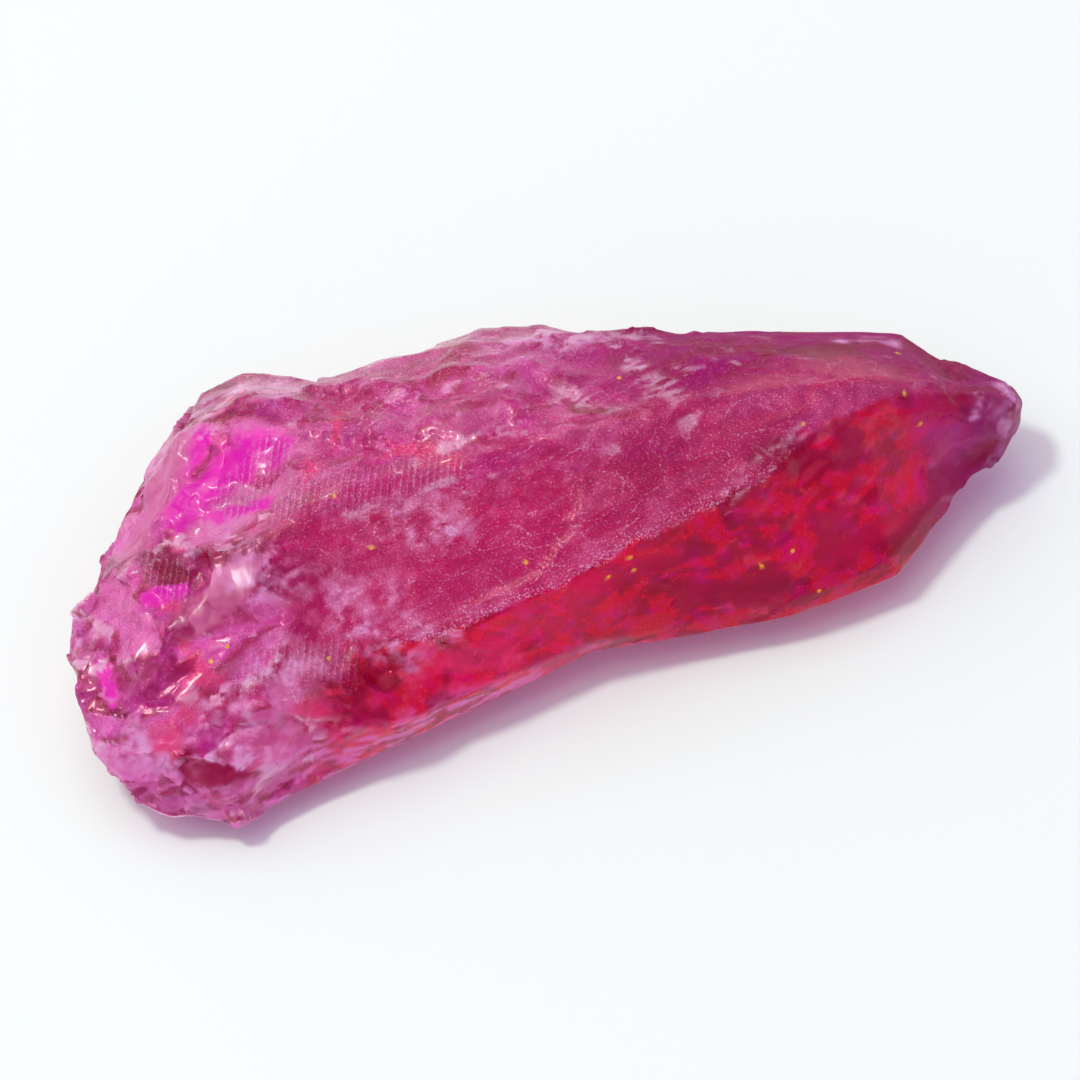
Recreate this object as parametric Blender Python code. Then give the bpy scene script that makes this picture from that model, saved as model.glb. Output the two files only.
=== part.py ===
"""Raw ruby crystal: one tapering, broken crystal that lies on its flat sole.

Frame: +X along the crystal, from its broken butt end to its blunt tip, +Z up, and the origin at
the bottom centre of its bounding box. Lengths here are in millimetres until the last step.
"""

import math

import bmesh
import bpy
from mathutils import Vector, noise
from mathutils.bvhtree import BVHTree

MM = 0.001

# The edges between the crystal's faces, from the butt end to the tip, going round from the sole.
EDGES = {
    "sole_front": [
        (-10.9, -2.2, 0.0), (-10.4, -2.8, 0.0), (-9.8, -3.4, 0.0), (-8.6, -4.0, 0.0),
        (-7.0, -3.8, 0.0), (-4.6, -3.4, 0.0), (-2.2, -2.8, 0.0), (0.4, -2.3, 0.0),
        (3.2, -2.4, 0.0), (5.5, -2.3, 0.0), (7.6, -1.7, 0.0), (9.4, -0.6, 0.0),
        (10.6, 0.0, 0.5), (11.4, 0.3, 1.0),
    ],
    "front_rim": [
        (-12.3, -3.1, 1.9), (-12.1, -4.1, 1.5), (-11.1, -5.0, 1.0), (-9.2, -5.4, 0.8),
        (-7.1, -4.8, 0.8), (-4.6, -4.3, 1.0), (-2.1, -3.7, 1.0), (0.4, -3.1, 1.2),
        (3.2, -3.3, 1.1), (5.7, -3.4, 1.1), (8.4, -3.0, 1.2), (10.5, -1.2, 1.4),
        (11.9, -0.4, 1.6), (12.4, 0.0, 1.8),
    ],
    "bevel_top": [
        (-12.4, -1.9, 2.6), (-12.0, -3.1, 2.4), (-10.9, -4.1, 2.2), (-9.0, -4.7, 2.1),
        (-7.2, -4.4, 2.1), (-4.8, -4.3, 2.0), (-2.7, -3.8, 1.9), (0.2, -3.1, 1.7),
        (2.9, -3.2, 1.6), (5.8, -3.3, 1.7), (8.2, -2.9, 1.8), (10.3, -1.1, 1.9),
        (11.7, -0.3, 2.1), (12.3, 0.0, 2.1),
    ],
    "ridge": [
        (-12.1, 0.4, 3.0), (-11.7, -1.1, 3.4), (-10.8, -2.7, 3.5), (-9.1, -3.6, 3.3),
        (-7.2, -3.7, 3.2), (-5.1, -2.9, 3.2), (-2.7, -2.9, 3.4), (-0.2, -2.5, 3.8),
        (3.3, -1.6, 4.3), (5.9, -1.1, 4.7), (8.2, -0.3, 4.6), (10.0, -0.1, 3.9),
        (11.4, -0.2, 3.1), (12.2, 0.0, 2.6),
    ],
    "crest": [
        (-11.5, 0.6, 3.4), (-10.8, -0.3, 4.3), (-9.4, -0.3, 4.9), (-7.8, -0.1, 5.2),
        (-6.1, 0.4, 5.5), (-3.5, 0.7, 5.6), (-1.0, 0.6, 5.6), (1.4, 0.7, 5.6),
        (4.0, 0.8, 5.5), (6.3, 0.8, 5.2), (8.4, 0.7, 4.8), (10.2, 0.6, 4.0),
        (11.6, 0.3, 3.3), (12.3, 0.3, 2.7),
    ],
    "shoulder": [
        (-11.0, 1.3, 3.2), (-10.1, 1.2, 4.0), (-9.3, 2.2, 4.4), (-8.4, 3.8, 4.4),
        (-6.5, 4.4, 4.6), (-4.2, 3.6, 4.9), (-1.4, 3.7, 5.0), (0.9, 3.2, 4.9),
        (2.7, 2.7, 4.9), (4.9, 2.3, 4.8), (7.2, 1.9, 4.5), (9.3, 1.6, 4.0),
        (11.2, 0.9, 3.4), (12.3, 0.7, 2.7),
    ],
    "back_rim": [
        (-10.7, 2.3, 2.6), (-9.8, 3.4, 2.8), (-8.6, 4.5, 3.0), (-7.4, 5.6, 3.1),
        (-6.3, 5.8, 3.2), (-4.3, 5.0, 3.3), (-1.3, 5.4, 3.3), (-0.1, 5.6, 3.3),
        (3.0, 4.6, 3.2), (5.6, 4.0, 3.1), (8.0, 3.4, 3.0), (10.1, 2.9, 2.8),
        (11.7, 1.7, 2.6), (12.5, 1.2, 2.3),
    ],
    "back_foot": [
        (-10.9, 1.5, 1.3), (-9.6, 2.6, 1.2), (-8.3, 3.8, 1.0), (-7.2, 4.8, 1.1),
        (-6.0, 5.1, 1.3), (-4.1, 4.4, 1.1), (-1.3, 4.6, 1.2), (0.0, 4.9, 1.3),
        (2.9, 3.9, 1.1), (5.4, 3.3, 1.0), (7.6, 2.8, 1.1), (9.6, 2.2, 1.2),
        (11.1, 1.4, 1.3), (12.0, 1.0, 1.5),
    ],
    "sole_back": [
        (-10.4, 0.4, 0.0), (-9.2, 1.4, 0.0), (-8.0, 2.4, 0.0), (-6.8, 3.2, 0.0),
        (-5.6, 3.6, 0.0), (-3.8, 3.2, 0.0), (-1.2, 3.3, 0.0), (0.4, 3.4, 0.0),
        (2.8, 2.6, 0.0), (5.2, 2.1, 0.0), (7.2, 1.6, 0.0), (9.0, 1.0, 0.0),
        (10.6, 0.8, 0.5), (11.4, 0.7, 1.0),
    ],
}
BUTT = (-12.4, -1.2, 1.7)
TIP = (12.7, 0.7, 1.9)

# Hollows left where flakes broke off: a point in the middle, half the width, the depth, and the wall
# pattern, where 0 is a round shell shape and any other number picks a set of flat walls.
HOLLOWS = {
    "window_floor": ((-8.1, 1.7, 4.9), 1.9, 0.42, 11),
    "window_side": ((-6.7, 2.3, 5.2), 1.2, 0.28, 4),
    "window_foot": ((-9.5, 0.9, 4.6), 0.9, 0.30, 7),
    "butt_bowl": ((-9.9, -0.4, 4.5), 0.8, 0.26, 3),
    "butt_pocket": ((-11.6, -1.8, 3.0), 0.9, 0.25, 5),
    "butt_side": ((-10.2, 2.4, 3.4), 1.2, 0.20, 8),
    "butt_face": ((-12.2, -1.4, 1.7), 1.2, 0.20, 9),
    "corner_scallop": ((-8.9, -3.3, 3.4), 1.1, 0.24, 6),
    "corner_chip": ((-10.4, -4.4, 2.0), 0.8, 0.16, 2),
    "front_hollow": ((-6.4, -4.0, 2.9), 0.85, 0.32, 0),
    "front_notch": ((-5.0, -3.2, 3.1), 0.8, 0.34, 14),
    "front_flute": ((-3.4, -3.5, 2.5), 1.3, 0.18, 15),
    "ridge_notch": ((6.6, -0.9, 4.7), 0.9, 0.24, 16),
    "crest_chip": ((0.6, 2.3, 5.2), 0.9, 0.20, 17),
    "shoulder_step": ((-2.9, 3.2, 5.1), 1.2, 0.18, 18),
    "shoulder_chip": ((1.8, 3.2, 4.8), 1.0, 0.18, 19),
    "tip_top": ((11.0, 0.9, 3.5), 0.9, 0.16, 20),
    "tip_side": ((10.6, -0.9, 2.4), 0.9, 0.15, 21),
    "back_shell": ((-3.2, 4.8, 2.2), 1.5, 0.34, 0),
    "back_scoop": ((4.4, 3.9, 2.1), 1.5, 0.30, 22),
    "back_chip": ((8.9, 2.7, 1.9), 1.1, 0.22, 23),
    "back_heel": ((-7.9, 4.6, 1.9), 1.2, 0.26, 24),
}

# Ledges of the broken top: the lip's line in plan, its rise, and how far behind it the rise dies away.
LEDGES = {
    "long_ledge": ([(-6.4, 0.0), (-4.8, 0.2), (-3.1, 0.1), (-1.1, 0.2), (1.4, -0.1), (3.8, -0.2)], 0.10, 1.6),
    "upper_ledge": ([(-5.8, 2.7), (-4.6, 2.1), (-3.7, 1.8), (-1.6, 1.2), (0.7, 1.5)], 0.18, 1.8),
    "butt_ledge": ([(-10.6, -1.9), (-9.6, -1.5), (-8.2, -1.5), (-6.9, -0.9)], 0.20, 1.2),
    "block_ledge": ([(-8.0, -3.2), (-6.9, -3.4), (-6.0, -3.6), (-5.2, -2.9)], 0.24, 0.9),
}

FINE_EDGE = 0.2
WORN_PASSES = 1
NODE_FACES = 9000
NOISE_SEED = 7


def loft(edges, butt, tip):
    """A closed body through the edge lines, drawn to one corner at each end."""
    bm = bmesh.new()
    rings = [[bm.verts.new(corner) for corner in ring] for ring in zip(*edges.values())]
    for near, far in zip(rings, rings[1:]):
        for i, corner in enumerate(near):
            after = (i + 1) % len(near)
            bm.faces.new((corner, far[i], far[after], near[after]))
    for ring, point in ((rings[0], butt), (rings[-1], tip)):
        end = bm.verts.new(point)
        for i, corner in enumerate(ring):
            bm.faces.new((corner, ring[(i + 1) % len(ring)], end))
    bmesh.ops.recalc_face_normals(bm, faces=bm.faces[:])
    return bm


def refine(bm, longest):
    """Splits the edges that are longer than this, in enough rounds to reach all of them."""
    bmesh.ops.triangulate(bm, faces=bm.faces[:], quad_method="SHORT_EDGE")
    for _ in range(6):
        long_edges = [edge for edge in bm.edges if edge.calc_length() > longest]
        bmesh.ops.subdivide_edges(bm, edges=long_edges, cuts=1)
        bmesh.ops.triangulate(bm, faces=bm.faces[:], quad_method="BEAUTY", ngon_method="BEAUTY")


def ramp(low, high, value):
    """0 below low, 1 above high, and a smooth rise between."""
    share = min(1.0, max(0.0, (value - low) / (high - low)))
    return share * share * (3.0 - 2.0 * share)


def shell_depth(along, half_width, depth):
    """How deep a round shell-shaped hollow is at this offset from its middle."""
    ripple = 1.0 + 0.18 * noise.noise(along * 1.3 / half_width)
    return depth * (1.0 - (along.length / half_width * ripple) ** 2)


def walled_depth(along, half_width, depth, pattern):
    """How deep a flat-walled hollow is: the lowest of its tilted floor and five tilted walls."""
    floor = depth * (1.0 + 0.5 * noise.noise(along * 0.6 / half_width + Vector((pattern, 0, 0))))
    deepest = floor
    for wall in range(5):
        spin = noise.noise_vector(Vector((pattern * 5.3 + wall * 2.9, 1.7, 0.4)))
        turn = math.tau * (wall + 0.8 * spin.x) / 5.0
        reach = half_width * (0.85 + 0.4 * spin.y)
        steep = depth / half_width * (1.6 + 1.6 * abs(spin.z))
        side = Vector((math.cos(turn), math.sin(turn), 0.0))
        deepest = min(deepest, steep * (reach - along.dot(side)))
    return deepest


def hollow(bm, tree, at, half_width, depth, pattern):
    """Sinks one hollow into the surface, square to the surface at its middle."""
    point, normal, _, _ = tree.find_nearest(Vector(at))
    turn = normal.rotation_difference(Vector((0.0, 0.0, 1.0)))
    for vert in bm.verts:
        offset = vert.co - point
        if offset.length > 1.9 * half_width or vert.normal.dot(normal) < 0.1:
            continue
        along = turn @ offset
        along.z = 0.0
        if pattern:
            sink = walled_depth(along, half_width, depth, pattern)
        else:
            sink = shell_depth(along, half_width, depth)
        vert.co -= normal * max(0.0, sink) * ramp(0.0, 0.6, vert.co.z)


def along_lip(lip, x):
    """The lip's y at this x, or None past its ends."""
    for (x0, y0), (x1, y1) in zip(lip, lip[1:]):
        if x0 <= x <= x1:
            return y0 + (y1 - y0) * (x - x0) / (x1 - x0)
    return None


def ledge_rise(lip, rise, run, at):
    """How far a ledge lifts the top of the crystal at this point."""
    edge = along_lip(lip, at.x)
    if edge is None:
        return 0.0
    wander = noise.noise(Vector((at.x * 1.3, rise * 40.0, 0.0)))
    wander += 0.6 * noise.noise(Vector((at.x * 4.0, rise * 40.0, 9.0)))
    behind = at.y - edge - 0.4 * wander
    ends = ramp(lip[0][0], lip[0][0] + 0.8, at.x) * (1.0 - ramp(lip[-1][0] - 0.8, lip[-1][0], at.x))
    uneven = 0.7 + 1.6 * noise.noise(Vector((at.x * 0.9, rise * 70.0, 3.0)))
    return rise * uneven * ends * ramp(-0.10, 0.12, behind) * (1.0 - ramp(0.25 * run, run, behind))


def brokenness(at):
    """How rough the crystal is here: 1 at the broken butt end, little on the two long smooth faces."""
    butt = 1.0 - ramp(-9.5, -4.0, at.x)
    top_back = ramp(0.4, 2.0, at.y) * (1.0 - ramp(4.0, 9.0, at.x))
    tip = ramp(8.5, 11.0, at.x)
    return max(0.22, butt, 0.8 * top_back, 0.65 * tip)


def scars(at, size):
    """The height of a surface made of overlapping flake scars about this big, with sharp edges."""
    spot = Vector((at.x / 1.4, at.y, at.z)) / size
    lowest = 9.0
    for cell in noise.voronoi(spot)[1]:
        own = noise.noise_vector(cell * 3.7)
        offset = spot - cell
        lowest = min(lowest, 0.30 * own.x + 0.45 * offset.dot(own) + 0.32 * offset.length_squared)
    return (lowest - 0.02) * size


def roughen(bm):
    """Lifts the ledges and breaks the surface into flake scars, leaving the sole flat."""
    bm.normal_update()
    moves = []
    for vert in bm.verts:
        off_sole = ramp(0.1, 1.6, vert.co.z)
        facing_up = ramp(0.35, 0.7, vert.normal.z)
        lift = facing_up * sum(ledge_rise(*ledge, vert.co) for ledge in LEDGES.values())
        flakes = 0.55 * scars(vert.co, 2.1) + 0.42 * scars(vert.co + Vector((7, 3, 5)), 0.9)
        moves.append(vert.normal * off_sole * (lift + brokenness(vert.co) * flakes))
    for vert, move in zip(bm.verts, moves):
        vert.co += move
    bm.normal_update()


def lighten(obj, faces):
    """Merges the faces that lie flat together, until about this many triangles are left."""
    keep = obj.modifiers.new("flat faces merged", "DECIMATE")
    keep.ratio = faces / len(obj.data.polygons)
    graph = bpy.context.evaluated_depsgraph_get()
    obj.data = bpy.data.meshes.new_from_object(obj.evaluated_get(graph))
    obj.modifiers.clear()


def set_down(mesh):
    """Stands the mesh on the origin by the bottom centre of its box, and turns millimetres to metres."""
    for vert in mesh.vertices:
        if vert.co.z < 0.02:
            vert.co.z = 0.0
    low = [min(vert.co[i] for vert in mesh.vertices) for i in range(3)]
    high = [max(vert.co[i] for vert in mesh.vertices) for i in range(3)]
    foot = Vector(((low[0] + high[0]) / 2.0, (low[1] + high[1]) / 2.0, low[2]))
    for vert in mesh.vertices:
        vert.co = (vert.co - foot) * MM


def ruby_material():
    material = bpy.data.materials.new("ruby")
    material.use_nodes = True
    shader = material.node_tree.nodes["Principled BSDF"]
    shader.inputs["Base Color"].default_value = (0.62, 0.03, 0.16, 1.0)
    shader.inputs["Roughness"].default_value = 0.28
    shader.inputs["Metallic"].default_value = 0.0
    shader.inputs["IOR"].default_value = 1.77
    shader.inputs["Transmission Weight"].default_value = 0.6
    return material


def ruby_crystal():
    noise.seed_set(NOISE_SEED)
    bm = loft(EDGES, BUTT, TIP)
    refine(bm, FINE_EDGE)
    for _ in range(WORN_PASSES):
        bmesh.ops.smooth_vert(
            bm, verts=[v for v in bm.verts if v.co.z > 0.0], factor=0.5,
            use_axis_x=True, use_axis_y=True, use_axis_z=True,
        )
    tree = BVHTree.FromBMesh(bm)
    roughen(bm)
    for at, half_width, depth, pattern in HOLLOWS.values():
        hollow(bm, tree, at, half_width, depth, pattern)
    mesh = bpy.data.meshes.new("ruby_crystal")
    bm.to_mesh(mesh)
    bm.free()
    obj = bpy.data.objects.new("ruby_crystal", mesh)
    bpy.context.scene.collection.objects.link(obj)
    lighten(obj, NODE_FACES)
    set_down(obj.data)
    obj.data.materials.append(ruby_material())
    return obj


for old in list(bpy.data.objects):
    bpy.data.objects.remove(old)
ruby_crystal()
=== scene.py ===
# Raw ruby crystal on a white table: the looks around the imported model.

import math

import bmesh
import bpy
from mathutils import Matrix, Vector, noise


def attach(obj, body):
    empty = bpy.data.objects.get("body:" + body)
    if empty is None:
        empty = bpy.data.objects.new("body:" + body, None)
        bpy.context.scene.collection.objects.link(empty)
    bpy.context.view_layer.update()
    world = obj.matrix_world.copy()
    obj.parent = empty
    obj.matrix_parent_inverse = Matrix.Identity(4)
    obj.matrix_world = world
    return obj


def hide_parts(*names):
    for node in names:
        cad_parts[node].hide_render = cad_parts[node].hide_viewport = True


mm = 0.001
noise.seed_set(11)  # noise vectors depend on it, so every run gives the same stone

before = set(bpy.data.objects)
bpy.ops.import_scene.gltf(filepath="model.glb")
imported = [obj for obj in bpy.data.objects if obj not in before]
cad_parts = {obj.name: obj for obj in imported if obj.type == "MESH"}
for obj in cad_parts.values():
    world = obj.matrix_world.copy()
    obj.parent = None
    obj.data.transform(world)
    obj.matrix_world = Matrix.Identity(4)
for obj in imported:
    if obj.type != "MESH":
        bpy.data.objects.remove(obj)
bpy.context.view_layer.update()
print("frame loaded")


class Wire:
    # a number socket that can be used in plain arithmetic
    def __init__(self, shader, socket):
        self.shader = shader
        self.socket = socket

    def maths(self, operation, a, b):
        return self.shader.node("ShaderNodeMath", {"operation": operation}, {0: a, 1: b})

    def __add__(self, other):
        return self.maths("ADD", self, other)

    def __radd__(self, other):
        return self.maths("ADD", other, self)

    def __sub__(self, other):
        return self.maths("SUBTRACT", self, other)

    def __rsub__(self, other):
        return self.maths("SUBTRACT", other, self)

    def __mul__(self, other):
        return self.maths("MULTIPLY", self, other)

    def __rmul__(self, other):
        return self.maths("MULTIPLY", other, self)


class Shader:
    # one node tree, of a material or of the world
    def __init__(self, owner, outputKind):
        owner.use_nodes = True
        self.tree = owner.node_tree
        self.tree.nodes.clear()
        self.output = self.tree.nodes.new(outputKind)

    def node(self, kind, settings, values, out=0):
        # settings first, then each socket gets a value or a link
        made = self.tree.nodes.new(kind)
        for key, value in settings.items():
            setattr(made, key, value)
        for key, value in values.items():
            if isinstance(value, Wire):
                self.tree.links.new(value.socket, made.inputs[key])
            else:
                made.inputs[key].default_value = value
        return Wire(self, made.outputs[out])

    def ramp(self, value, low, high):
        # 0 below low, 1 above high
        return self.node(
            "ShaderNodeMapRange",
            {"interpolation_type": "SMOOTHSTEP"},
            {"Value": value, "From Min": low, "From Max": high},
        )

    def dot(self, a, b):
        return self.node("ShaderNodeVectorMath", {"operation": "DOT_PRODUCT"}, {0: a, 1: b}, out=1)

    def painted(self, name, colour=False):
        # what is painted on the mesh's points
        return self.node("ShaderNodeAttribute", {"attribute_name": name}, {}, out=0 if colour else 2)

    def mix(self, share, a, b):
        values = {0: share, 6: a, 7: b}
        values = {k: (*v, 1.0) if isinstance(v, tuple) else v for k, v in values.items()}
        return self.node("ShaderNodeMix", {"data_type": "RGBA"}, values, out=2)

    def finish(self, surface, volume=None):
        self.tree.links.new(surface.socket, self.output.inputs["Surface"])
        if volume is not None:
            self.tree.links.new(volume.socket, self.output.inputs["Volume"])


def ramp(low, high, value):
    # 0 at low and 1 at high, whichever of them is the larger
    share = min(1.0, max(0.0, (value - low) / (high - low)))
    return share * share * (3.0 - 2.0 * share)


def blend(share, a, b):
    return tuple(p + (q - p) * share for p, q in zip(a, b))


def weighted(weights, values):
    return sum(weight * values[name] for name, weight in weights.items())


def lineAt(line, x):
    # the line's y at this x, held level past its ends
    if x <= line[0][0]:
        return line[0][1]
    for (x0, y0), (x1, y1) in zip(line, line[1:]):
        if x <= x1:
            return y0 + (y1 - y0) * (x - x0) / (x1 - x0)
    return line[-1][1]


# Lengths are in millimetres on the stone. A pair of limits runs from where something has faded
# out to where it is full.
ridge = {
    "line": ((-9.2, -3.7), (-7.3, -3.9), (-5.2, -2.9), (-3.5, -3.1), (-1.9, -2.9), (-0.3, -2.7),
             (1.9, -2.1), (3.5, -1.8), (5.3, -1.5), (6.7, -0.6), (9.3, 0.1)),
    "start": (-5.4, -3.5),
    "end": (6.6, 5.5),
    "height": (1.5, 2.5),
    "waver": 0.12,
    "waverScale": 2.2,
    "behind": 0.20,  # how far the worn grains reach behind the line, and down its front
    "ahead": 0.05,
    "grainSize": 0.10,
    "grainDepth": 0.012,
}


def besideRidge(at):
    # how far behind the ridge a point is, in plan
    return at.y - lineAt(ridge["line"], at.x)


def ridgeGrain(at):
    # 1 on the worn line of the ridge, fading faster down its front
    behind = besideRidge(at) - ridge["waver"] * noise.noise(at * ridge["waverScale"])
    reach = ridge["behind"] if behind > 0.0 else ridge["ahead"]
    ends = ramp(*ridge["start"], at.x) * ramp(*ridge["end"], at.x)
    return math.exp(-((behind / reach) ** 2)) * ends * ramp(*ridge["height"], at.z)


ledges = {
    "lines": (
        ((-6.3, 0.0), (-5.3, -0.1), (-4.3, -0.1), (-2.2, -0.1), (0.3, -0.2), (2.1, -0.2), (3.6, -0.2)),
        ((-5.6, 2.6), (-4.8, 1.9), (-3.8, 1.5), (-2.8, 1.4), (-1.8, 0.6), (-0.2, 0.8), (0.6, 0.7)),
    ),
    "height": (3.5, 4.5),
    "waver": 0.15,
    "waverScale": 1.5,
    "reach": 0.16,
    "chipSize": 0.24,
    "chipDepth": 0.060,
}


def ledgeChips(at):
    # 1 on the lips of the two ledges
    near = math.inf
    for line in ledges["lines"]:
        if line[0][0] < at.x < line[-1][0]:
            waver = ledges["waver"] * noise.noise(at * ledges["waverScale"])
            near = min(near, abs(at.y - lineAt(line, at.x) - waver))
    return math.exp(-((near / ledges["reach"]) ** 2)) * ramp(*ledges["height"], at.z)


# A scar is a tilted, slightly hollow facet round a random middle, cut off where the next one
# is deeper. A flake is a small patch of one tone on it.
scar = {
    "stretch": 1.5,  # how much longer than wide
    "swing": 2.0,  # brings the heights that the next four give to about one depth
    "level": 0.30,
    "tilt": 0.70,
    "hollow": 0.05,
    "lift": 0.04,
    "edge": (0.05, 0.0),
    "ownScale": 3.7,  # spreads the middles, so that each facet differs from the next
    "numberScale": 5.3,
    "flakeSize": 0.34,
    "flakeStretch": 1.4,
    "flakeBend": 0.30,
    "flakeBendScale": 0.8,
    "flakeEdge": (0.07, 0.0),
}


def scars(at, size):
    # the height of a field of scars, the scar's own number and how near its edge is
    spot = Vector((at.x / scar["stretch"], at.y, at.z)) / size
    facets = []
    for middle in noise.voronoi(spot)[1]:
        own = noise.noise_vector(middle * scar["ownScale"])
        offset = spot - middle
        height = scar["level"] * own.x + scar["tilt"] * offset.dot(own)
        height += scar["hollow"] * offset.length_squared
        facets.append((height, noise.cell(middle * scar["numberScale"])))
    facets.sort()
    (height, number), (nextHeight, _) = facets[:2]
    return scar["swing"] * (height + scar["lift"]), number, ramp(*scar["edge"], nextHeight - height)


def flakeAt(at):
    # the flake's own number, and how near its edge is
    size = scar["flakeSize"]
    bent = at + scar["flakeBend"] * size * noise.noise_vector(at / size * scar["flakeBendScale"])
    away, middles = noise.voronoi(Vector((bent.x / scar["flakeStretch"], bent.y, bent.z)) / size)
    number = noise.cell(middles[0] * scar["numberScale"])
    return number, ramp(*scar["flakeEdge"], (away[1] - away[0]) * size)



# patches laid on like brush strokes: softness of the edge, how far it strays, and strokes of
# start, end and half width
strokes = {
    "snow": (0.9, 0.5, (
        ((-5.6, -1.8, 4.1), (-4.6, -3.0, 3.3), 0.75), ((-4.6, -3.0, 3.3), (-3.3, -3.1, 3.3), 0.35),
        ((-3.6, -0.6, 4.9), (-2.6, -0.9, 4.8), 0.55), ((-7.8, -1.0, 4.8), (-7.0, -1.3, 4.8), 0.6),
        ((-11.4, -3.6, 2.5), (-10.7, -4.5, 2.2), 0.6), ((-10.0, -5.2, 1.8), (-8.8, -4.9, 2.3), 0.6),
        ((-8.6, -3.5, 3.2), (-7.3, -3.0, 3.7), 0.5), ((11.9, -0.3, 2.6), (12.4, 0.5, 2.5), 0.4),
        ((11.0, 0.0, 3.4), (11.2, -0.3, 3.3), 0.22), ((-7.8, 4.6, 3.7), (-5.6, 4.4, 4.2), 0.7),
        ((-0.4, 4.4, 4.2), (2.2, 3.9, 4.2), 0.4), ((8.2, 2.5, 3.5), (10.2, 2.3, 3.0), 0.25),
        ((-9.8, -3.8, 3.0), (-9.4, -4.3, 2.6), 0.4), ((-11.9, -2.2, 2.4), (-11.9, -0.4, 2.6), 0.3),
    )),
    # frosted facets whose pale grey-pink is partly a painted reflection of the soft box
    "frostAndReflection": (0.25, 0.12, (
        ((-8.8, 3.4, 4.0), (-10.5, 1.1, 3.5), 0.75), ((-9.6, -1.7, 4.3), (-7.9, -1.0, 4.9), 0.42),
        ((-7.2, -3.0, 3.7), (-6.3, -3.3, 3.5), 0.45),
    )),
    "glow": (0.45, 0.25, (
        ((-8.9, 1.5, 4.3), (-7.2, 2.3, 4.6), 0.45), ((-8.3, 1.1, 4.4), (-6.9, 1.0, 4.7), 0.25),
        ((-6.9, 2.6, 4.7), (-6.2, 2.4, 4.8), 0.45), ((-10.3, -0.6, 4.2), (-9.4, -0.9, 4.5), 0.25),
        ((-11.9, -1.6, 3.0), (-11.7, -2.6, 2.8), 0.2), ((-8.6, 2.8, 4.3), (-7.9, 3.2, 4.4), 0.35),
    )),
    "coral": (0.6, 0.4, (
        ((-4.5, 2.8, 5.1), (-5.0, 1.7, 5.2), 0.22), ((-5.0, 1.7, 5.2), (-6.0, 1.0, 5.3), 0.2),
        ((-3.6, 1.3, 5.5), (-2.0, 0.5, 5.7), 0.25), ((-10.6, -4.0, 2.9), (-9.9, -3.3, 3.4), 0.35),
        ((-9.9, -2.2, 4.0), (-9.5, -2.9, 3.6), 0.3), ((-7.0, -3.9, 2.8), (-6.5, -4.3, 2.2), 0.35),
        ((-10.0, -0.7, 4.4), (-9.6, -1.6, 4.3), 0.25), ((-4.0, -3.6, 2.6), (-2.0, -3.4, 2.5), 0.45),
    )),
    # deep red of the stone, and painted shade along the lower rim of the hollow at the butt end
    "deepRedAndShade": (0.5, 0.3, (
        ((-5.9, -3.7, 2.8), (-4.6, -3.3, 2.9), 0.35), ((-6.7, -4.2, 2.3), (-6.0, -4.0, 2.5), 0.25),
        ((-10.0, 1.6, 3.4), (-9.4, 0.5, 4.2), 0.22), ((-9.4, 0.5, 4.2), (-8.8, -0.3, 4.8), 0.22),
        ((-8.8, -0.3, 4.8), (-7.3, -0.4, 5.1), 0.2), ((-10.1, 0.6, 4.0), (-9.4, -0.4, 4.5), 0.4),
        ((6.4, 2.2, 4.2), (8.4, 1.9, 4.0), 0.4), ((0.3, -2.7, 3.6), (2.9, -2.4, 3.3), 0.3),
        ((3.4, -3.1, 2.2), (5.2, -3.2, 2.1), 0.35), ((7.0, -2.8, 2.3), (9.6, -1.8, 2.1), 0.3),
        ((5.4, -1.0, 4.7), (7.6, -1.2, 4.0), 0.35), ((1.0, 1.5, 5.0), (1.8, 0.9, 5.3), 0.25),
    )),
    "comb": (0.3, 0.15, (
        ((-7.5, 1.3, 4.5), (-6.4, 2.2, 4.8), 0.55), ((-10.0, 0.4, 4.1), (-9.5, -0.6, 4.4), 0.5),
        ((-6.6, 0.5, 5.1), (-2.4, 0.3, 5.6), 0.5), ((-6.9, -3.1, 3.6), (-5.8, -3.3, 3.3), 0.5),
        ((-8.6, -3.2, 3.4), (-7.5, -2.9, 3.8), 0.35),
    )),
    "frost": (0.5, 0.3, (
        ((2.9, 2.6, 4.4), (3.4, 1.2, 5.2), 0.4), ((3.4, 1.2, 5.2), (3.8, 0.1, 5.3), 0.28),
        ((1.0, 2.2, 4.8), (1.8, 1.0, 5.3), 0.3), ((0.5, 4.2, 4.3), (3.8, 3.7, 3.9), 0.25),
        ((-5.6, 0.0, 5.2), (-4.2, -0.1, 5.2), 0.16), ((-3.2, 0.0, 5.3), (-1.4, -0.1, 5.4), 0.13),
        ((0.6, -0.2, 5.3), (2.4, -0.2, 5.3), 0.15), ((4.4, -1.6, 4.5), (6.4, -0.6, 4.8), 0.22),
        ((-1.6, 2.6, 4.9), (-0.4, 2.9, 4.7), 0.3), ((-2.4, 0.9, 5.6), (-0.2, 0.9, 5.5), 0.16),
    )),
}

# the strokes' edges waver broadly and finely
waver = {"broadScale": 1.1, "fineScale": 4.0, "fineShare": 0.5}

# gold flecks, inclusions whose glints are painted in gold: where they are, how far each reaches, and how its
# surroundings are split for it
flecks = {
    "spots": ((-1.0, -2.0, 4.1), (1.5, -2.4, 3.8), (1.7, -2.6, 3.4), (4.8, -2.8, 2.6), (5.7, -2.7, 2.8),
              (6.2, -3.4, 1.7), (9.3, 0.1, 4.3), (9.6, -0.5, 3.7), (6.6, -0.4, 4.8), (2.5, 2.1, 4.8),
              (-4.7, -0.9, 4.6), (-5.3, 0.2, 5.6), (-6.4, -3.1, 3.5), (-8.8, -2.5, 4.2), (-9.3, -2.7, 4.0),
              (9.7, 1.8, 3.5), (1.0, -2.6, 3.5)),
    "reach": 0.07,
    "edge": (1.0, 0.6),
    "splitReach": 0.14,
    "cuts": 3,
}


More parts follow.
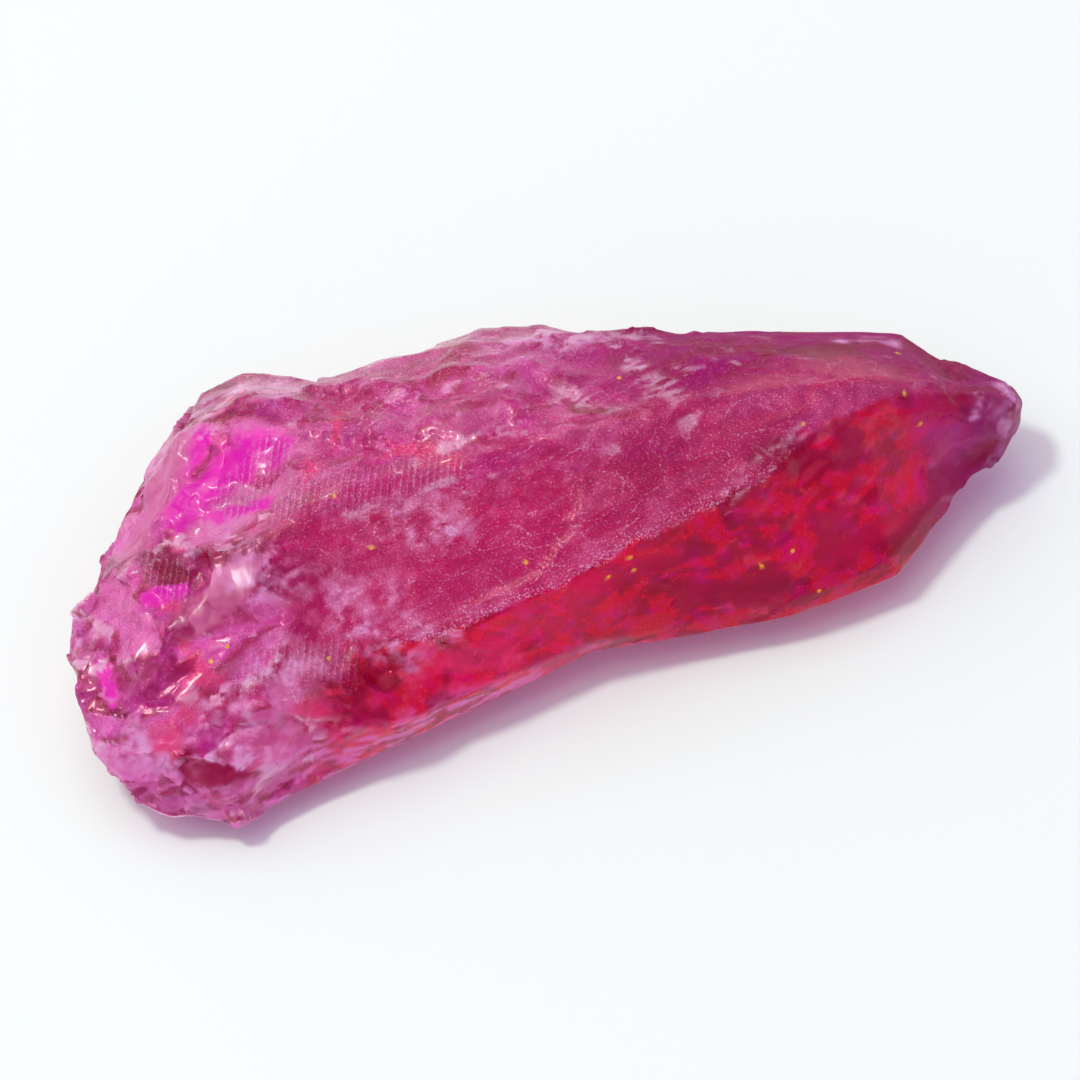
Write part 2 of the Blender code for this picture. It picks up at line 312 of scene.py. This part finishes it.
def strokeAt(at, edge, stray, lines):
    # 1 inside a stroke, 0 well outside it
    fine = waver["fineShare"] * noise.noise_vector(at * waver["fineScale"])
    at = at + stray * (noise.noise_vector(at * waver["broadScale"]) + fine)
    most = 0.0
    for start, end, width in lines:
        a, b = Vector(start), Vector(end)
        along = min(1.0, max(0.0, (at - a).dot(b - a) / (b - a).length_squared))
        away = (at - a.lerp(b, along)).length / width
        most = max(most, ramp(1.0 + edge, 1.0 - edge, away))
    return most


# zones of the stone, and how far their borders stray
zones = {
    "stray": 1.6,
    "strayScale": 0.45,
    "ridgeStray": ((0.10, 1.5), (0.05, 6.0)),
    "topEdge": (-0.04, 0.06),
    "topHeight": (1.0, 2.2),
    "butt": (-4.6, -8.8),
    "upperFront": (-0.1, 1.0),
    "upperStray": 0.4,
    "upperEnd": (4.5, 1.5),
    "backFront": (0.4, 2.2),
    "backStray": 0.5,
    "backStart": (-1.0, 4.5),
    "tip": (8.4, 11.0),
    "footHeight": (1.7, 1.3),
    "footRise": (0.6, 0.4),  # what those heights gain toward the butt end
    "footRiseAlong": (3.0, -5.0),
    "footStray": 0.15,
    "footBack": (0.5, -1.0),
    "footSole": (0.5, 0.9),
    "footEnd": (4.0, -4.0),
    "nearSole": (1.0, 0.1),
    "lowEdge": (1.1, 0.2),
    "footClear": 0.7,  # share of the foot that is as clear as the low edge
}


def zonesAt(at):
    # how far inside each zone and stroke a point is, from 0 to 1
    stray = zones["stray"] * noise.noise(at * zones["strayScale"])
    behind = besideRidge(at)
    for reach, scale in zones["ridgeStray"]:
        behind += reach * noise.noise(at * scale)
    back = ramp(*zones["backFront"], at.y + zones["backStray"] * stray) * ramp(*zones["backStart"], at.x)
    rise = ramp(*zones["footRiseAlong"], at.x)
    height = (start + rise * more for start, more in zip(zones["footHeight"], zones["footRise"]))
    foot = ramp(*height, at.z + zones["footStray"] * stray) * ramp(*zones["footBack"], at.y)
    foot *= ramp(*zones["footSole"], at.z) * ramp(*zones["footEnd"], at.x)
    upperFront = ramp(*zones["upperFront"], at.y + zones["upperStray"] * stray)
    found = {
        "all": 1.0,
        "top": ramp(*zones["topEdge"], behind) * ramp(*zones["topHeight"], at.z),
        "butt": ramp(*zones["butt"], at.x + stray),
        "upper": upperFront * ramp(*zones["upperEnd"], at.x + stray),
        "purple": max(back, ramp(*zones["tip"], at.x + stray)),
        "foot": foot,
        "nearSole": ramp(*zones["nearSole"], at.z),
        "lowEdge": max(zones["footClear"] * foot, ramp(*zones["lowEdge"], at.z)),
    }
    for name, stroke in strokes.items():
        found[name] = strokeAt(at, *stroke)
    return found


# cloudy patterns from 0 to 1: whether they turn with the streaks, their scale on each axis,
# their roughness and layers, and how far and how finely they are bent
streakTurn = Matrix.Rotation(math.radians(-22.0), 3, "Z")  # off the long axis
clouds = {
    "veil": (True, (0.495, 1.1, 1.1), 0.7, 5, 0.0, 0.0),
    "mist": (False, (2.6, 2.6, 2.6), 0.5, 3, 0.0, 0.0),
    "flame": (True, (0.85, 1.7, 1.7), 0.7, 3, 0.5, 1.6),
    "streaks": (True, (0.81, 4.5, 4.5), 0.6, 3, 0.0, 0.0),
    "along": (False, (0.9, 3.6, 3.6), 0.6, 3, 0.0, 0.0),
}
mixes = {
    "streakMist": {"streaks": 0.6, "mist": 0.4},
    "mistStreaks": {"streaks": 0.4, "mist": 0.6},
}
# a smooth pattern, turned with the streaks, whose levels are the hairlines
swirl = {"scale": (0.675, 1.5, 1.5), "bend": 0.4, "bendScale": 0.8}

# masks from the patterns: which pattern, and where the mask starts and is full
masks = {
    "flames": ("flame", 0.34, 0.58),
    "flameMist": ("flame", 0.30, 0.60),
    "bloom": ("mist", 0.52, 0.72),
    "deepBloom": ("mist", 0.52, 0.75),
    "topMist": ("mist", 0.40, 0.62),
    "plateMist": ("mist", 0.35, 0.60),
    "snowMist": ("mistStreaks", 0.25, 0.75),
    "pallor": ("streakMist", 0.32, 0.62),
    "clearVeil": ("veil", 0.30, 0.52),
    "thinVeil": ("veil", 0.52, 0.34),
    "thickVeil": ("veil", 0.52, 0.70),
    "orchidVeil": ("veil", 0.40, 0.62),
    "duskVeil": ("veil", 0.50, 0.60),
    "petalStreaks": ("streaks", 0.40, 0.66),
    "frostStreaks": ("streaks", 0.35, 0.65),
    "wineFlakes": ("flake", 0.66, 0.95),
    "darkFlakes": ("flake", 0.55, 0.45),
    "lightFlakes": ("flake", 0.45, 0.55),
    "rimedFlakes": ("flake", 0.30, 0.90),
    "snowPlates": ("plate", 0.70, 0.76),
    "scuffed": ("along", 0.38, 0.60),
}

# the tones of the butt end's facets, each laid on where the facet's number passes its step
plateTones = ("petal", "orchid", "ash", "pink", "lilac", "coral", "petal")
plateStep = 0.14
plateEdge = 0.01


def patternsAt(at, plate):
    # the cloudy, streaked and broken patterns at one point, and the masks made from them
    found = {"plate": plate}
    turned = streakTurn @ at
    for name, (isTurned, scale, rough, layers, bend, bendScale) in clouds.items():
        place = (turned if isTurned else at) * Vector(scale)
        if bend > 0.0:
            place += bend * noise.noise_vector(at * bendScale)
        found[name] = 0.5 + 0.5 * noise.fractal(place, rough, 2.0, layers)
    bent = swirl["bend"] * noise.noise_vector(at * swirl["bendScale"])
    found["swirl"] = noise.noise(turned * Vector(swirl["scale"]) + bent)
    for name, weights in mixes.items():
        found[name] = weighted(weights, found)
    found["flake"], found["flakeEdge"] = flakeAt(at)
    for name, (pattern, low, high) in masks.items():
        found[name] = ramp(low, high, found[pattern])
    for number in range(len(plateTones)):
        found[f"plate{number}"] = ramp(plateStep * number, plateStep * number + plateEdge, plate)
    return found


# how strongly the zones and the patterns come together as wear
wear = {
    "damage": {"all": 0.12, "butt": 1.0, "upper": 0.6, "purple": 0.4},
    "snow": 0.90,
    "snowPlates": 0.35,
    "frost": 0.70,
    "plateEdges": 0.70,
    "flakeEdges": 0.20,
    "wineFoot": 0.7,  # share of the wine flakes that the foot keeps off
    "petalUpper": 0.8,  # how much of the butt end's colours the upper back takes
    "pallorAlong": (-2.0, 6.0),
    "pallorLoss": 0.5,  # how much of the pallor is lost there
    "upperPlates": 0.3,  # how much the facets of the upper back differ in mist
    "plateMiddle": 0.6,  # facets with a middle number are the more misted ones
    "brightUpper": 0.6,
    "brightLeast": 0.4,  # the shine of the dullest facet
    "paleDull": 0.85,
}


def wearAt(at, amounts, scarEdge, spots):
    # the masks that need more than one zone or pattern
    off = {name: 1.0 - amounts[name] for name in ("top", "butt", "upper", "purple", "foot")}
    damage = min(1.0, weighted(wear["damage"], amounts))
    snow = wear["snow"] * amounts["snow"] * amounts["snowMist"]
    snow += wear["snowPlates"] * amounts["butt"] * amounts["snowPlates"] * amounts["plateMist"]
    edges = wear["plateEdges"] * scarEdge * amounts["lightFlakes"]
    edges += wear["flakeEdges"] * amounts["flakeEdge"] * amounts["rimedFlakes"]
    nearest = min((at - spot).length for spot in spots)
    plates = amounts["butt"] + wear["upperPlates"] * amounts["upper"]
    plates *= wear["plateMiddle"] - abs(2.0 * amounts["plate"] - 1.0)
    bright = max(amounts["butt"], wear["brightUpper"] * amounts["upper"])
    bright *= wear["brightLeast"] + (1.0 - wear["brightLeast"]) * amounts["plate"]
    bright *= 1.0 - wear["paleDull"] * amounts["frostAndReflection"]
    return {
        "front": off["top"] * off["butt"] * off["purple"] * amounts["flameMist"],
        "mistedTop": amounts["top"] * amounts["topMist"],
        "smoothTop": amounts["top"] * off["butt"] * off["upper"],
        "window": max(amounts["glow"], amounts["frostAndReflection"]),
        "petalled": max(amounts["butt"], wear["petalUpper"] * amounts["upper"]),
        "broken": max(amounts["butt"], amounts["upper"]),
        "pallor": amounts["pallor"] * (1.0 - wear["pallorLoss"] * ramp(*wear["pallorAlong"], at.x)),
        "wineFlakes": amounts["wineFlakes"] * (1.0 - wear["wineFoot"] * amounts["foot"]),
        "darkEdges": scarEdge * amounts["darkFlakes"],
        "flurry": min(1.0, snow),
        "scuffs": amounts["foot"] * amounts["scuffed"],
        "rime": min(1.0, wear["frost"] * amounts["frost"] * amounts["frostStreaks"] + damage * edges),
        "goldGlint": ramp(*flecks["edge"], nearest / flecks["reach"]),
        "flakes": damage * off["foot"] * (amounts["flake"] - 0.5),
        "plates": plates,
        "brightPlates": bright,
    }


# the ruby: its light, and the colours of its misted skin and its clear parts
ruby = {
    "ior": 1.77,
    "absorbColour": (0.985, 0.02, 0.80),
    "absorbDensity": 600.0,
    "shine": 0.25,
    "gloss": (1.0, 0.12, 0.30),  # tint of the surface's shine
    "coatRough": 0.22,  # the thin white shine of broken and frosted parts
    "coatIor": 1.6,
    "mistRough": 0.3,  # how much rougher the misted skin is than the clear parts
    "mistLight": 0.3,  # how much light it still lets through
    "skin": {
        "red": (1.0, 0.000, 0.016), "darkRed": (0.40, 0.000, 0.008), "wine": (0.60, 0.006, 0.150),
        "rose": (0.94, 0.022, 0.120), "paleRose": (1.0, 0.150, 0.360), "petal": (1.0, 0.250, 0.740),
        "orchid": (1.0, 0.065, 0.620), "purple": (0.36, 0.004, 0.190), "lilac": (1.0, 0.500, 0.940),
        "ash": (0.78, 0.190, 0.430), "magenta": (1.0, 0.004, 0.600), "coral": (1.0, 0.040, 0.200),
        "pink": (1.0, 0.060, 0.420), "dusk": (0.26, 0.002, 0.050), "rime": (1.0, 0.620, 0.850),
        # the painted gold glint of the flecks
        "goldGlint": (1.0, 0.600, 0.030),
    },
    "glass": {
        "red": (1.0, 0.30, 0.10), "darkRed": (0.75, 0.08, 0.04), "rose": (1.0, 0.75, 0.70),
        "orchid": (1.0, 0.85, 1.0), "purple": (0.55, 0.40, 0.90), "magenta": (1.0, 0.70, 1.0),
        "window": (1.0, 1.0, 1.0), "edge": (1.0, 0.95, 1.0),
    },
}

# colours laid over a first one in turn: how strongly, where, and which. Each mixture can be
# used under its own name by the next.
skinCoats = {
    "fire": ("darkRed", ((1.0, "flames", "red"), (0.25, "bloom", "magenta"))),
    "rosy": ("rose", ((1.0, "pallor", "paleRose"), (0.6, "thinVeil", "wine"), (0.3, "thickVeil", "petal"))),
    "petals": ("pink", (
        (1.0, "orchidVeil", "orchid"),
        *((0.45, f"plate{number}", tone) for number, tone in enumerate(plateTones)),
        (0.45, "petalStreaks", "petal"),
        (0.3, "wineFlakes", "wine"),
        (0.8, "darkEdges", "darkRed"),
    )),
    "violet": ("purple", ((1.0, "duskVeil", "dusk"),)),
    "skin": ("fire", (
        (1.0, "top", "rosy"),
        (1.0, "petalled", "petals"),
        (0.85, "purple", "violet"),
        # dusk on the deep strokes: painted shade along the hollow's lower rim, and the stone's own deep red
        # elsewhere
        (0.85, "deepRedAndShade", "dusk"),
        (0.85, "coral", "coral"),
        (1.0, "glow", "magenta"),
        # ash on the frosted facets: their frost, and a painted reflection of the soft box
        (0.8, "frostAndReflection", "ash"),
        (1.0, "flurry", "lilac"),
        (0.9, "scuffs", "petal"),
        (0.85, "rime", "rime"),
        # painted gold glints of the inclusions
        (1.0, "goldGlint", "goldGlint"),
    )),
}
glassCoats = {
    "glass": ("darkRed", (
        (1.0, "clearVeil", "red"),
        (0.3, "deepBloom", "magenta"),
        (1.0, "top", "rose"),
        (1.0, "broken", "orchid"),
        (0.85, "purple", "purple"),
        # darker glass on the deep strokes: painted shade on the hollow's rim, and deep red elsewhere
        (0.8, "deepRedAndShade", "darkRed"),
        (0.8, "coral", "red"),
        (1.0, "glow", "window"),
        (1.0, "frostAndReflection", "window"),
        (1.0, "lowEdge", "edge"),
    )),
}

# how misted, rough, dusty and white with shine the surface is: what each mask adds, what each
# then takes off, and the limits
finishes = {
    "haze": (
        {"all": 0.10, "front": 0.48, "top": 0.15, "mistedTop": 0.20, "butt": 0.50, "upper": 0.24,
         "purple": 0.42, "flurry": 0.45, "frostAndReflection": 0.05, "foot": 0.20, "rime": 0.50, "scuffs": 0.45,
         "glow": 0.95, "coral": 0.30, "deepRedAndShade": -0.22, "flakes": 0.16, "plates": 0.30, "goldGlint": 1.0},
        {"nearSole": 0.75},
        (0.03, 0.95),
    ),
    "rough": (
        {"all": 0.08, "smoothTop": 0.16, "butt": 0.05, "rime": 0.15, "purple": 0.30, "frostAndReflection": 0.35},
        {},
        (0.0, 1.0),
    ),
    "dusty": ({"all": 0.12, "top": 0.72}, {"window": 0.85, "butt": 0.5, "purple": 0.5}, (0.0, 1.0)),
    "sheen": (
        {"all": 0.03, "top": 0.32, "brightPlates": 0.50, "rime": 1.0, "foot": 0.40},
        {"deepRedAndShade": 0.7, "purple": 1.0},
        (0.0, 1.0),
    ),
}


def coated(palette, coats, amounts):
    # the last of the mixtures, each made from the palette and the mixtures before it
    mixed = dict(palette)
    for mixture, (first, layers) in coats.items():
        colour = mixed[first]
        for share, mask, name in layers:
            colour = blend(share * amounts[mask], colour, mixed[name])
        mixed[mixture] = colour
    return (*colour, 1.0)


def finishAt(name, amounts):
    adds, fades, (least, most) = finishes[name]
    value = weighted(adds, amounts)
    for mask, share in fades.items():
        value *= 1.0 - share * amounts[mask]
    return min(most, max(least, value))


def paintPoint(at, plate, scarEdge, spots):
    # all that is painted on one point: two colours, and numbers for the material
    amounts = {**zonesAt(at), **patternsAt(at, plate)}
    amounts.update(wearAt(at, amounts, scarEdge, spots))
    return {
        "skin": coated(ruby["skin"], skinCoats, amounts),
        "glass": coated(ruby["glass"], glassCoats, amounts),
        "haze": finishAt("haze", amounts),
        "rough": finishAt("rough", amounts),
        "dusty": finishAt("dusty", amounts),
        "sheen": finishAt("sheen", amounts),
        "grain": ridgeGrain(at),
        "comb": amounts["comb"],
        "swirl": amounts["swirl"],
    }


def paintStone(mesh, spots):
    facets, edges = mesh.attributes["facet"].data, mesh.attributes["edge"].data
    points = []
    for vert, facet, edge in zip(mesh.vertices, facets, edges):
        points.append(paintPoint(vert.co / mm, facet.value, edge.value, spots))
    for name, first in points[0].items():
        if isinstance(first, tuple):
            flat = [number for point in points for number in point[name]]
            mesh.attributes.new(name, "FLOAT_COLOR", "POINT").data.foreach_set("color", flat)
        else:
            flat = [point[name] for point in points]
            mesh.attributes.new(name, "FLOAT", "POINT").data.foreach_set("value", flat)


crystal = {
    "rounds": 2,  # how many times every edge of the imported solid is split
    "soften": 2,  # passes that round the split edges
    "softenShare": 0.5,
    "sole": 0.02,  # the stone stays as packed up to this height
    "offSole": (0.05, 0.5),
    "scars": ((1.45, 0.260), (0.50, 0.050), (0.20, 0.014)),  # size and depth
    "scarShift": 7.0,  # so that scars of different sizes don't line up
    "quiet": 0.05,  # share of the relief left on the smooth faces
    "windowCalm": 0.75,  # share of it taken off the windows
    "brokenButt": (-4.5, -8.0),
    "brokenBack": (0.2, 1.8),
    "brokenBackEnd": (9.0, 4.0),
    "brokenBackShare": 0.55,
    "brokenTip": (8.5, 11.0),
    "brokenTipShare": 0.45,
    "leastWear": 0.05,  # fainter grains and chips are left off
    "sharpAngle": 17.0,  # edges bent more than this stay crisp, in degrees
}


def brokenness(at):
    # 1 at the broken butt end, little on the two long smooth faces
    butt = ramp(*crystal["brokenButt"], at.x)
    back = ramp(*crystal["brokenBack"], at.y) * ramp(*crystal["brokenBackEnd"], at.x)
    tip = ramp(*crystal["brokenTip"], at.x)
    return max(crystal["quiet"], butt, crystal["brokenBackShare"] * back, crystal["brokenTipShare"] * tip)


def splitFaces(bm):
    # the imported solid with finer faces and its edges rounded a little
    bmesh.ops.remove_doubles(bm, verts=bm.verts, dist=1e-7)
    for _ in range(crystal["rounds"]):
        bmesh.ops.subdivide_edges(bm, edges=bm.edges[:], cuts=1, use_grid_fill=True)
        bmesh.ops.triangulate(bm, faces=bm.faces[:])
    soft = [v for v in bm.verts if v.co.z > crystal["sole"] * mm]
    for _ in range(crystal["soften"]):
        bmesh.ops.smooth_vert(
            bm, verts=soft, factor=crystal["softenShare"], use_axis_x=True, use_axis_y=True, use_axis_z=True
        )
    bm.normal_update()


def carve(bm):
    # relief along the normals; each point keeps its widest scar's number and nearness of edge
    facetLayer, edgeLayer = bm.verts.layers.float.new("facet"), bm.verts.layers.float.new("edge")
    moves = []
    for vert in bm.verts:
        at = vert.co / mm
        window = max(strokeAt(at, *strokes["glow"]), strokeAt(at, *strokes["frostAndReflection"]))
        share = brokenness(at) * (1.0 - crystal["windowCalm"] * window)
        relief = 0.0
        for number, (size, depth) in enumerate(crystal["scars"]):
            height, facet, near = scars(at + Vector((number * crystal["scarShift"], 0, 0)), size)
            relief += share * depth * height
            if number == 0:
                vert[facetLayer], vert[edgeLayer] = facet, near
        grains = (ridgeGrain(at), ridge["grainSize"], ridge["grainDepth"])
        chips = (ledgeChips(at), ledges["chipSize"], ledges["chipDepth"])
        for amount, size, depth in (grains, chips):
            if amount > crystal["leastWear"]:
                relief += amount * depth * scars(at, size)[0]
        moves.append(vert.normal * (ramp(*crystal["offSole"], at.z) * relief * mm))
    for vert, move in zip(bm.verts, moves):
        vert.co += move


def splitUnderFlecks(bm):
    # the flecks are smaller than the faces; gives the points that they lie on
    spots = []
    for place in flecks["spots"]:
        spot = min(bm.verts, key=lambda v: (v.co / mm - Vector(place)).length).co / mm
        spots.append(spot)
        close = [e for e in bm.edges if (e.verts[0].co / mm - spot).length < flecks["splitReach"]]
        bmesh.ops.subdivide_edges(bm, edges=close, cuts=flecks["cuts"], use_grid_fill=True)
    bmesh.ops.triangulate(bm, faces=bm.faces[:])
    bm.normal_update()
    return spots


def makeCrystal():
    bm = bmesh.new()
    bm.from_mesh(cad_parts["ruby_crystal"].data)
    splitFaces(bm)
    carve(bm)
    spots = splitUnderFlecks(bm)
    for face in bm.faces:
        face.smooth = True
    mesh = bpy.data.meshes.new("crystal")
    bm.to_mesh(mesh)
    bm.free()
    mesh.set_sharp_from_angle(angle=math.radians(crystal["sharpAngle"]))
    paintStone(mesh, spots)
    piece = bpy.data.objects.new("crystal", mesh)
    bpy.context.scene.collection.objects.link(piece)
    print("crystal made:", len(mesh.polygons), "faces")
    return piece


# fine marks of the material: strengths, and where each starts and is full in its pattern
marks = {
    "dustScale": 20.0,
    "dustDetail": 1.0,
    "paleGrain": (0.55, 0.46, 0.62),
    "paleDust": (0.60, 0.56, 0.74),
    "stepLips": (0.50, 0.80, 0.95),
    "darkDust": 0.60,
    "darkDustEdge": (0.30, 0.46),
    "patchy": (0.40, 0.60),  # the hairlines come and go
    "lineEdge": (0.004, 0.03),
    "paleLevel": 0.12,  # the swirl's levels that the hairlines follow
    "paleLines": 0.50,
    "darkLevel": -0.10,
    "darkLines": 0.70,
    "clearLines": 0.80,
    "stepAcross": (5.8, -2.3, 0.0),  # steps of the parting planes per millimetre
    "stepBend": 0.90,
    "stepMist": 0.40,
    "markMist": 0.50,
    "dustHeight": 0.018,
    "stepHeight": 0.05,
}


def cutOut(s, name, where, pattern):
    # a mark's strength, where it lies, and the part of the pattern that shows
    strength, low, high = marks[name]
    return strength * where * s.ramp(pattern, low, high)


def hairline(s, swirl, level, patchy):
    # 1 along the line where the swirl is at this level
    away = s.node("ShaderNodeMath", {"operation": "ABSOLUTE"}, {0: swirl - level})
    return (1.0 - s.ramp(away, *marks["lineEdge"])) * patchy


def makeRuby():
    material = bpy.data.materials.new("ruby")
    s = Shader(material, "ShaderNodeOutputMaterial")
    objectPlace = s.node("ShaderNodeTexCoord", {}, {}, out=3)
    place = s.node("ShaderNodeMapping", {}, {"Vector": objectPlace, "Scale": (1.0 / mm, 1.0 / mm, 1.0 / mm)})
    rough, dusty, comb = s.painted("rough"), s.painted("dusty"), s.painted("comb")

    # the patterns: dust, hairlines that follow the swirl, and steps of the parting planes
    dust = s.node(
        "ShaderNodeTexNoise",
        {},
        {"Vector": place, "Scale": marks["dustScale"], "Detail": marks["dustDetail"]},
    )
    swirl, patchy = s.painted("swirl"), s.ramp(dust, *marks["patchy"])
    paleLine = hairline(s, swirl, marks["paleLevel"], patchy)
    darkLine = hairline(s, swirl, marks["darkLevel"], patchy)
    across = s.dot(place, marks["stepAcross"]) + marks["stepBend"] * dust
    steps = s.node("ShaderNodeMath", {"operation": "FRACT"}, {0: across})

    # what they whiten, darken, mist and raise
    white = cutOut(s, "paleGrain", s.painted("grain"), dust) + cutOut(s, "paleDust", dusty, dust)
    white = white + marks["paleLines"] * dusty * paleLine + cutOut(s, "stepLips", comb, steps)
    dark = marks["darkDust"] * dusty * (1.0 - s.ramp(dust, *marks["darkDustEdge"]))
    dark = dark + marks["darkLines"] * darkLine
    skin = s.mix(white, s.painted("skin", colour=True), ruby["skin"]["rime"])
    skin = s.mix(dark, skin, ruby["skin"]["wine"])
    glass = s.mix(marks["clearLines"] * darkLine, s.painted("glass", colour=True), ruby["skin"]["wine"])
    haze = s.painted("haze") + marks["markMist"] * white + marks["stepMist"] * comb * (steps - 0.5)
    haze = s.node("ShaderNodeClamp", {}, {"Value": haze})
    height = marks["dustHeight"] * dusty * dust + marks["stepHeight"] * comb * steps
    bump = s.node("ShaderNodeBump", {}, {"Strength": 1.0, "Distance": 1.0 * mm, "Height": height})

    surface = {
        "IOR": ruby["ior"],
        "Specular IOR Level": ruby["shine"],
        "Specular Tint": (*ruby["gloss"], 1.0),
        "Coat Weight": s.painted("sheen"),
        "Coat Roughness": ruby["coatRough"],
        "Coat IOR": ruby["coatIor"],
        "Normal": bump,
    }
    clear = s.node(
        "ShaderNodeBsdfPrincipled",
        {},
        {**surface, "Base Color": glass, "Roughness": rough, "Transmission Weight": 1.0},
    )
    misted = s.node(
        "ShaderNodeBsdfPrincipled",
        {},
        {
            **surface,
            "Base Color": skin,
            "Roughness": rough + ruby["mistRough"],
            "Transmission Weight": ruby["mistLight"],
        },
    )
    both = s.node("ShaderNodeMixShader", {}, {0: haze, 1: clear, 2: misted})
    inside = s.node(
        "ShaderNodeVolumeAbsorption",
        {},
        {"Color": (*ruby["absorbColour"], 1.0), "Density": ruby["absorbDensity"]},
    )
    s.finish(both, inside)
    return material


piece = makeCrystal()
piece.data.materials.append(makeRuby())
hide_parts("ruby_crystal")
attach(piece, "root")

# the table, the light and the camera, in millimetres and watts
studio = {
    "floorSize": 600.0,
    "floorGap": 0.02,  # how far it lies below the stone
    "floorColour": (0.92, 0.93, 0.94),
    "floorRough": 0.9,
    "domeColour": (1.10, 0.77, 1.28),
    "dome": 0.45,  # brightness of the room around
    "rimColour": (0.93, 0.95, 0.98),
    "rim": 0.88,  # brightness of the wall behind, near the horizon
    "rimEdge": (0.12, 0.30),  # heights at which it starts and ends to fade
    "boxColour": (0.83, 1.0, 0.80),
    "box": 1.48,  # brightness of the broad soft box
    "boxTowards": (-0.30, 0.30, 0.905),
    "boxEdge": (0.72, 0.90),  # cosines of its outer and inner reach
    "keyPlace": (-91.0, 34.0, 241.0),
    "keySize": 40.0,
    "keyPower": 0.255,
    "keyColour": (0.81, 1.0, 0.80),
}


def makeFloor():
    bm = bmesh.new()
    bmesh.ops.create_grid(bm, x_segments=1, y_segments=1, size=studio["floorSize"] * mm / 2.0)
    mesh = bpy.data.meshes.new("table")
    bm.to_mesh(mesh)
    bm.free()
    floor = bpy.data.objects.new("table", mesh)
    floor.location.z = -studio["floorGap"] * mm
    bpy.context.scene.collection.objects.link(floor)
    card = bpy.data.materials.new("white card")
    s = Shader(card, "ShaderNodeOutputMaterial")
    paint = s.node(
        "ShaderNodeBsdfPrincipled",
        {},
        {"Base Color": (*studio["floorColour"], 1.0), "Roughness": studio["floorRough"]},
    )
    s.finish(paint)
    floor.data.materials.append(card)


def makeLight():
    data = bpy.data.lights.new("key", "AREA")
    data.shape = "DISK"
    data.size = studio["keySize"] * mm
    data.energy = studio["keyPower"]
    data.color = studio["keyColour"]
    lamp = bpy.data.objects.new("key", data)
    bpy.context.scene.collection.objects.link(lamp)
    lamp.location = Vector(studio["keyPlace"]) * mm
    lamp.rotation_euler = lamp.location.to_track_quat("Z", "Y").to_euler()


def makeSky():
    # a dim room with a pale wall round it and one broad soft box
    world = bpy.data.worlds.new("studio")
    s = Shader(world, "ShaderNodeOutputWorld")
    direction = s.node("ShaderNodeTexCoord", {}, {})
    inBox = s.ramp(s.dot(direction, studio["boxTowards"]), *studio["boxEdge"])
    wall = 1.0 - s.ramp(s.dot(direction, (0.0, 0.0, 1.0)), *studio["rimEdge"])
    colour = s.mix(inBox, studio["domeColour"], studio["boxColour"])
    colour = s.mix(wall, colour, studio["rimColour"])
    box, rim = studio["box"] - studio["dome"], studio["rim"] - studio["dome"]
    strength = studio["dome"] + inBox * box + wall * rim
    sky = s.node("ShaderNodeBackground", {}, {"Color": colour, "Strength": strength})
    s.finish(sky)
    bpy.context.scene.world = world


view = {
    "azimuth": -15.0,
    "elevation": 60.0,
    "distance": 260.0,
    "target": (-0.29, -0.61, 2.5),
    "frameWidth": 27.0,  # what the frame takes in at the target
    "sensor": 36.0,
    "clipStart": 1.0,
}


def makeCamera():
    turn, lift = math.radians(view["azimuth"]), math.radians(view["elevation"])
    back = Vector((math.sin(turn) * math.cos(lift), -math.cos(turn) * math.cos(lift), math.sin(lift)))
    data = bpy.data.cameras.new("camera")
    data.sensor_width = view["sensor"]
    data.lens = view["sensor"] * view["distance"] / view["frameWidth"]
    data.clip_start = view["clipStart"] * mm
    camera = bpy.data.objects.new("camera", data)
    bpy.context.scene.collection.objects.link(camera)
    target = Vector(view["target"]) * mm
    camera.location = target + back * view["distance"] * mm
    camera.rotation_euler = back.to_track_quat("Z", "Y").to_euler()
    bpy.context.scene.camera = camera


makeFloor()
makeSky()
makeLight()
makeCamera()
bpy.context.scene.view_settings.view_transform = "Standard"
print("table, light and camera made")
